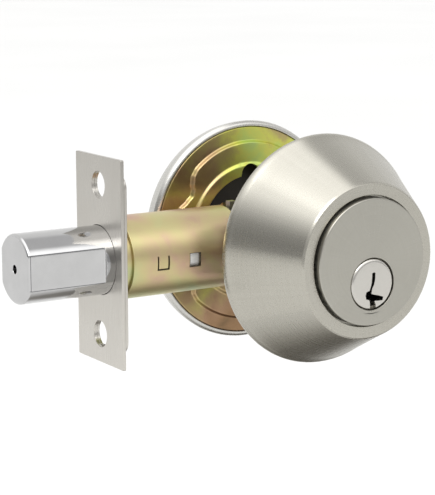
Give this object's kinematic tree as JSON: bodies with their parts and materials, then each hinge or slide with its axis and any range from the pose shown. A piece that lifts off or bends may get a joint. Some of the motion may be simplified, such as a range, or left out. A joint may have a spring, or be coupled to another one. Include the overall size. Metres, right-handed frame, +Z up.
{
  "type": "single-cylinder tubular deadbolt lock",
  "caption": "Tubular deadbolt door lock: tapered free-turning outside guard with key cylinder, round bolt in a faceplate and latch tube, and an inside thumbturn rose.",
  "frame": {"origin": "centre of the door's cross bore, in the middle of the door's thickness, on the bolt's centre line", "axes": "+Y from the outside (keyed) face to the inside (thumbturn) face along the cross bore, -X along the bolt as it is thrown, +Z up"},
  "size_m": [0.1179, 0.0918, 0.065],
  "materials": {
    "satin_steel": "satin brushed stainless steel",
    "satin_nickel": "satin nickel plate",
    "chrome": "polished chrome plate",
    "yellow_zinc": "yellow zinc dichromate plate, iridescent",
    "bright_zinc": "bright zinc plate",
    "die_cast": "die-cast zinc, tumbled",
    "plug_nickel": "nickel-plated brass",
    "brass": "turned brass",
    "spring_steel": "spring steel",
    "hard_steel": "hardened steel",
    "black_nylon": "moulded black nylon"
  },
  "bodies": {
    "lock_case": {"cylinder_body": "satin_nickel", "driver_pins": "brass", "pin_springs": "spring_steel", "pin_chamber_cover": "brass", "adapter_ring": "bright_zinc", "faceplate": "satin_nickel", "back_plate": "bright_zinc", "front_sleeve": "yellow_zinc", "latch_tube": "yellow_zinc", "backset_sleeve": "bright_zinc", "case_left": "yellow_zinc", "case_right": "yellow_zinc", "case_rivets": "bright_zinc", "mounting_plate": "yellow_zinc", "rose_cover": "satin_steel", "turn_bearing": "black_nylon", "wave_washer": "spring_steel", "mounting_screws": "bright_zinc"},
    "guard": {"outer_guard": "satin_steel"},
    "plug": {"key_plug": "plug_nickel", "key_pins": "brass", "plug_retainer": "spring_steel"},
    "tail": {"tailpiece": "bright_zinc"},
    "crank": {"cam_hub": "die_cast"},
    "bolt_group": {"bolt": "chrome", "saw_guard_pin": "hard_steel", "bolt_bar": "bright_zinc", "bar_pin": "hard_steel"},
    "turn": {"thumbturn": "satin_steel", "turn_spindle": "die_cast", "spindle_clip": "spring_steel"}
  },
  "joints": [
    {"name": "thumbturn_turn", "type": "hinge", "parent": "lock_case", "child": "turn", "pos_m": [0, 0, -0.006], "axis": [0, 1, 0], "range_deg": [0, 90]},
    {"name": "bolt_slide", "type": "slide", "parent": "lock_case", "child": "bolt_group", "axis": [1, 0, 0], "range_m": [0, 0.0254]},
    {"name": "crank_turn", "type": "hinge", "parent": "lock_case", "child": "crank", "pos_m": [0, 0, -0.006], "axis": [0, 1, 0], "range_deg": [0, 90]},
    {"name": "tailpiece_turn", "type": "hinge", "parent": "lock_case", "child": "tail", "pos_m": [0, 0, -0.006], "axis": [0, 1, 0], "range_deg": [0, 90]},
    {"name": "plug_turn", "type": "hinge", "parent": "lock_case", "child": "plug", "pos_m": [0, 0, -0.006], "axis": [0, 1, 0], "range_deg": [0, 90]},
    {"name": "guard_spin", "type": "hinge", "parent": "lock_case", "child": "guard", "pos_m": [0, -0.03, 0], "axis": [0, 1, 0], "continuous": true}
  ],
  "couplings": [
    {"joint": "bolt_slide", "follows": "thumbturn_turn", "m_per_rad": 0.01617},
    {"joint": "crank_turn", "follows": "thumbturn_turn", "ratio": 1},
    {"joint": "tailpiece_turn", "follows": "thumbturn_turn", "ratio": 1},
    {"joint": "plug_turn", "follows": "thumbturn_turn", "ratio": 1}
  ]
}
